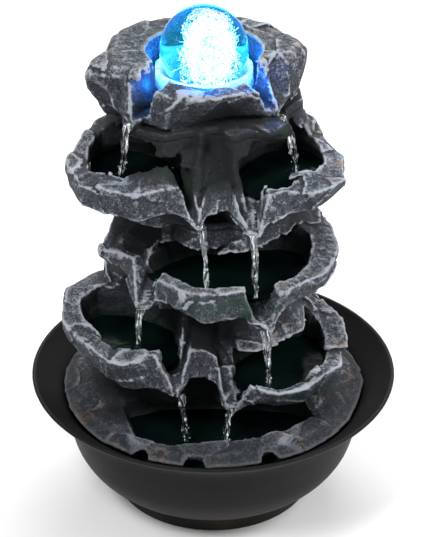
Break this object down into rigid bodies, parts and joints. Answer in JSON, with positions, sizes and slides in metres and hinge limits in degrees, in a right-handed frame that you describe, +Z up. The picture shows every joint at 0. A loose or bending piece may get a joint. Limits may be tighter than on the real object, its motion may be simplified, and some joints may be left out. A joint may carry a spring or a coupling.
{
  "type": "tabletop water fountain",
  "caption": "Tabletop water fountain: a cast rock tower steps water down through basins from a lit crystal ball into a round bowl, with a small pump inside.",
  "frame": {"origin": "centre of the bowl's foot, on the surface it stands on", "axes": "+Z up, -Y towards the front, where the water falls"},
  "size_m": [0.21, 0.21, 0.29],
  "materials": {
    "bowl_plastic": "fine-grained matte black",
    "cast_rock": "cast resin rock, slate grey with lighter dry-brushed edges",
    "crystal": "polished, full of fine bubbles",
    "clear_cup": "clear",
    "black_rubber": "matte",
    "lamp_plastic": "satin",
    "circuit_board": "solder-masked",
    "led_emitter": "lit blue-white",
    "steel_screw": "bright",
    "lead_jacket": "matte",
    "clear_tube": "clear vinyl",
    "pump_plastic": "satin black",
    "stator_steel": "laminated",
    "copper_coil": "enamelled copper wire",
    "impeller_plastic": "natural nylon",
    "ferrite": "black ferrite",
    "ceramic_shaft": "polished white",
    "slider_plastic": "satin"
  },
  "bodies": {
    "bowl": {"bowl": "bowl_plastic", "pump_housing": "pump_plastic", "pump_stator": "stator_steel", "pump_coil": "copper_coil", "pump_volute": "pump_plastic", "pump_shaft": "ceramic_shaft", "rear_bush": "black_rubber", "suction_cups": "black_rubber", "cord_gland": "black_rubber"},
    "pump_cover": {"pump_front_cover": "pump_plastic", "front_bush": "black_rubber"},
    "regulator": {"flow_slider": "slider_plastic"},
    "rotor": {"pump_impeller": "impeller_plastic", "pump_magnet": "ferrite"},
    "tower": {"base_rock": "cast_rock", "lower_tier": "cast_rock", "middle_tier": "cast_rock", "upper_tier": "cast_rock", "crown_rock": "cast_rock", "ball_cup": "clear_cup", "led_lens": "clear_cup", "led_gasket": "black_rubber", "led_housing": "lamp_plastic", "led_board": "circuit_board", "led_chips": "led_emitter", "led_screws": "steel_screw", "led_lead": "lead_jacket", "led_plug": "lamp_plastic", "riser_tube": "clear_tube"},
    "service_door": {"rear_cover": "cast_rock"},
    "ball": {"crystal_ball": "crystal"}
  },
  "joints": [
    {"name": "tower_lift", "type": "slide", "parent": "bowl", "child": "tower", "axis": [0, 0, 1], "range_m": [0, 0.09]},
    {"name": "rear_cover_pull", "type": "slide", "parent": "tower", "child": "service_door", "axis": [0, 1, 0], "range_m": [0, 0.05]},
    {"name": "ball_spin", "type": "hinge", "parent": "tower", "child": "ball", "pos_m": [-0.005, 0.025, 0.2656], "axis": [1, 0, 0], "continuous": true},
    {"name": "strainer_pull", "type": "slide", "parent": "bowl", "child": "pump_cover", "axis": [0, 1, 0], "range_m": [0, 0.007]},
    {"name": "flow_slide", "type": "slide", "parent": "pump_cover", "child": "regulator", "axis": [-1, 0, 0], "range_m": [0, 0.008]},
    {"name": "rotor_spin", "type": "hinge", "parent": "bowl", "child": "rotor", "pos_m": [-0.005, 0.01, 0.03], "axis": [0, 1, 0], "continuous": true}
  ]
}
